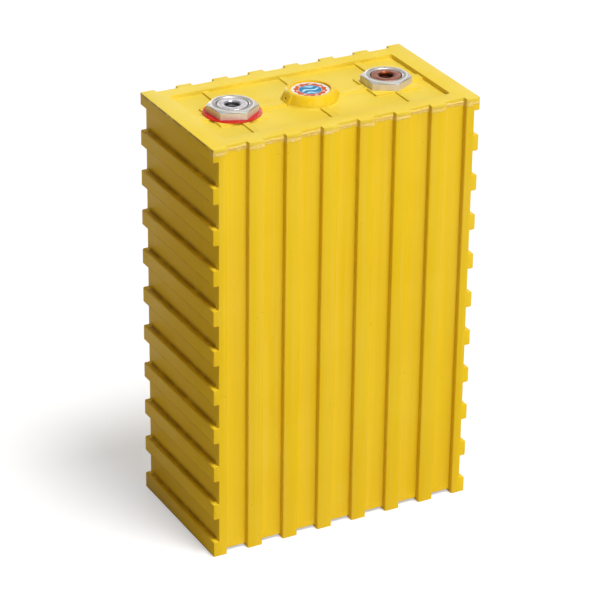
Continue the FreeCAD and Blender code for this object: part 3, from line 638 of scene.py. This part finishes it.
def make_spring():
    """Round wire spring between the poppet and its retainer."""
    low = top_of("vent_poppet") - POPPET_GUIDE
    high = bottom_of("spring_retainer") + RETAINER_SPIGOT
    wire = 0.4 * MM                      # radius of the wire
    radius = 3.8 * MM                    # axis to the middle of the wire
    turns = 4
    steps = 24
    form = bmesh.new()
    verts, edges = swept_ring_section(form, radius, wire, 10)
    bmesh.ops.translate(form, vec=(0, 0, low + wire), verts=verts)
    rise = (high - low - 2 * wire) / (turns * steps)
    bmesh.ops.spin(form, geom=verts + edges, cent=(0, 0, 0), axis=(0, 0, 1), dvec=(0, 0, rise),
                   angle=turns * 2 * math.pi, steps=turns * steps, use_merge=False)
    close_ends(form)
    spring = new_piece("valve_spring_wire", form, SPRING_STEEL, "valve_spring_carrier")
    smooth(spring)
    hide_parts("vent_spring")
    length = high - low
    lift = next(joint for joint in frame["joints"] if joint["name"] == "poppet_lift")["range_m"][1]
    (length - lift) / length
    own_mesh(spring)


THREAD_PITCH = 1.25 * MM
THREAD_LENGTH = 13 * MM
THREAD_START = 0.9 * MM                  # below the end of the post
THREAD_CREST = 0.32 * MM                 # in from the wall
THREAD_ROOT = 0.05 * MM                  # in the wall


def make_thread(name, node, finish):
    """Crest of an M8 thread standing in from the wall of a bolt hole."""
    centre = middle(node)
    top = top_of(node) - THREAD_START
    pitch = THREAD_PITCH
    steps = 24
    turns = int(THREAD_LENGTH / pitch)
    inner = BOLT_HOLE_RADIUS - THREAD_CREST
    outer = BOLT_HOLE_RADIUS + THREAD_ROOT
    form = bmesh.new()
    corners = ((outer, 0.05), (inner, 0.45), (inner, 0.55), (outer, 0.95))
    verts = [form.verts.new((reach, 0, top - turns * pitch - pitch + share * pitch))
             for reach, share in corners]
    edges = [form.edges.new(pair) for pair in zip(verts, verts[1:] + verts[:1])]
    bmesh.ops.spin(form, geom=verts + edges, cent=(0, 0, 0), axis=(0, 0, 1),
                   dvec=(0, 0, pitch / steps), angle=turns * 2 * math.pi, steps=turns * steps,
                   use_merge=False)
    close_ends(form)
    bmesh.ops.translate(form, vec=(centre.x, centre.y, 0), verts=form.verts)
    piece = new_piece(name, form, finish, "cell")
    round_edges(piece, 0.02 * MM, 1)


FLASH_OUT = 0.34 * MM
FLASH_ROOT = 0.02 * MM                   # the bead's root stands this far in the panel
FLASH_HALF_HEIGHT = 0.75 * MM
FLASH_SAG = 0.35 * MM
FLASH_MIDDLE = JOINT - 0.55 * MM


def make_flash(name, outer_y, finish):
    """Ragged bead of weld flash in each hollow between two ribs, just under the lid."""
    side = 1 if outer_y > 0 else -1
    form = bmesh.new()
    for hollow in range(RIB_COUNT - 1):
        start = rib_middle(hollow) + RIB_WIDTH / 2
        end = rib_middle(hollow) + RIB_PITCH - RIB_WIDTH / 2
        made = bmesh.ops.create_grid(form, x_segments=40, y_segments=6, size=0.5)
        for vert in made["verts"]:
            along = start + (vert.co.x + 0.5) * (end - start)
            around = vert.co.y * math.pi
            seed = Vector((along * 900, hollow * 7.3, side * 3.1))
            swell = 0.55 + 0.9 * abs(noise.noise(seed)) + 0.5 * noise.noise(seed * 2.7)
            out = FLASH_OUT * max(swell, 0.15) * math.cos(around) - FLASH_ROOT
            rise = FLASH_HALF_HEIGHT * max(swell, 0.2) * math.sin(around)
            sag = FLASH_SAG * noise.noise(seed * 0.5 + Vector((0, 0, 9)))
            vert.co = Vector((along, outer_y + side * out, FLASH_MIDDLE + rise + sag))
    bmesh.ops.recalc_face_normals(form, faces=form.faces)
    smooth(new_piece(name, form, finish, "cell"))


SKIRT_FOOT = 1.5 * MM
SKIRT_TOP = 4.4 * MM
SKIRT_THICK = 2.4 * MM
SKIRT_PROUD = 0.03 * MM                  # in front of the panel, so that the two faces don't meet
SKIRT_LAP = 0.5 * MM                     # into the rib at each end


def make_foot_skirt(name, front_y, finish):
    """Thin skirt that carries each panel between two ribs down to just above the floor."""
    inwards = -1 if front_y > 0 else 1
    form = bmesh.new()
    for hollow in range(RIB_COUNT - 1):
        made = bmesh.ops.create_cube(form, size=1.0)
        size = (RIB_PITCH - RIB_WIDTH + 2 * SKIRT_LAP, SKIRT_THICK, SKIRT_TOP - SKIRT_FOOT)
        place = (rib_middle(hollow) + RIB_PITCH / 2, front_y + inwards * (SKIRT_THICK / 2 - SKIRT_PROUD),
                 (SKIRT_TOP + SKIRT_FOOT) / 2)
        bmesh.ops.scale(form, vec=size, verts=made["verts"])
        bmesh.ops.translate(form, vec=place, verts=made["verts"])
    skirt = new_piece(name, form, finish, "cell")
    round_edges(skirt, 0.14 * MM)


# ---- the cell ----

make_camera()
make_sun("overhead_light", (0.15, -0.32, 0.93), 0.80, 18)
make_sun("front_light", (0.03, -0.98, 0.15), 0.52, 36)
make_sun("back_light", (0.42, 0.79, 0.45), 0.14, 50)
make_sun("low_back_light", (0.05, 0.995, 0.05), 0.28, 20)
make_sun("side_light", (-0.45, -0.10, 0.88), 0.055, 30, (1.0, 0.80, 0.55))
make_world()
make_floor()

CASE_YELLOW = moulded_plastic(
    "case_plastic", YELLOW, RICH_YELLOW, PALE_YELLOW, UPRIGHT_FLOW, gloss=0.03, marks=weld_marks)
LID_YELLOW = moulded_plastic("lid_plastic", LID_TINT_AND_SHEEN, YELLOW, PALE_LID, dullness=0.46, marks=lid_marks)
CAP_YELLOW = moulded_plastic("cap_plastic", CAP_TOP, YELLOW, PALE_YELLOW)
FLASH = moulded_plastic("weld_flash", FLASH_COLOUR, DEEP_FLASH, PALE_FLASH, grain=0.05)
ALUMINIUM = post_metal("aluminium_turned", "positive_terminal", (0.42, 0.40, 0.41), (0.22, 0.21, 0.23), 0.28)
COPPER = post_metal("copper_turned", "negative_terminal", (0.22, 0.056, 0.020), (0.115, 0.027, 0.010), 0.38)
SCREW_STEEL = metal("screw_steel", (0.50, 0.50, 0.51), (0.36, 0.36, 0.37), 0.32)
SPRING_STEEL = metal("spring_wire", (0.56, 0.56, 0.58), (0.40, 0.40, 0.42), 0.24, (1, 1, 0.2))
PLAIN_ALUMINIUM = metal("aluminium_plate", (0.70, 0.70, 0.71), (0.56, 0.56, 0.57), 0.36, (0.1, 1, 1))
PLAIN_COPPER = metal("copper_plate", (0.60, 0.26, 0.14), (0.42, 0.15, 0.08), 0.36, (0.1, 1, 1))
RUBBER = rubber("black_rubber")
VALVE_PLASTIC = valve_plastic()
INSULATOR = white_insulator()

rounded_copy("case_moulding", "case", 0.14 * MM, CASE_YELLOW, "cell")
rounded_copy("lid_moulding", "lid", 0.16 * MM, LID_YELLOW, "cell")
rounded_copy("relief_cap", "vent_cap", 0.20 * MM, CAP_YELLOW, "valve_cap", 3)
for sign in ("positive", "negative"):
    zinc = nut_zinc(sign + "_zinc_plate", sign + "_nut")
    rounded_copy(sign + "_hexagon_nut", sign + "_nut", 0.15 * MM, zinc, "cell", 3, 18)
rounded_copy("positive_washer_ring", "positive_ring", 0.12 * MM, red_plastic(), "cell")
rounded_copy("positive_post", "positive_terminal", 0.12 * MM, ALUMINIUM, "cell", 2, 30)
rounded_copy("negative_post", "negative_terminal", 0.12 * MM, COPPER, "cell", 2, 30)
make_thread("positive_thread", "positive_terminal", ALUMINIUM)
make_thread("negative_thread", "negative_terminal", COPPER)
make_spring()
make_flash("front_weld_flash", PANEL_FRONT, FLASH)
make_flash("back_weld_flash", -PANEL_FRONT, FLASH)
make_foot_skirt("front_foot_skirt", PANEL_FRONT, CASE_YELLOW)
make_foot_skirt("back_foot_skirt", -PANEL_FRONT, CASE_YELLOW)

dress(label_print(), "vent_label")
dress(RUBBER, "positive_gasket", "negative_gasket", "vent_cap_seal", "vent_rubber")
dress(VALVE_PLASTIC, "vent_poppet", "spring_retainer")
dress(INSULATOR, "floor_pad", "insulating_sleeve", "cover_plate")
dress(foil_bundle("aluminium_foil", (0.74, 0.74, 0.75), (0.58, 0.58, 0.60)), "positive_tabs")
dress(foil_bundle("copper_foil", (0.66, 0.30, 0.16), (0.48, 0.18, 0.09)), "negative_tabs")
dress(PLAIN_ALUMINIUM, "positive_clamp_plates")
dress(PLAIN_COPPER, "negative_clamp_plates")
dress(SCREW_STEEL, "positive_clamp_screws", "negative_clamp_screws")
dress(separator_pack(), *[name for name in sorted(nodes) if name.startswith("plate_pack")])

bpy.context.scene.view_settings.view_transform = "Standard"
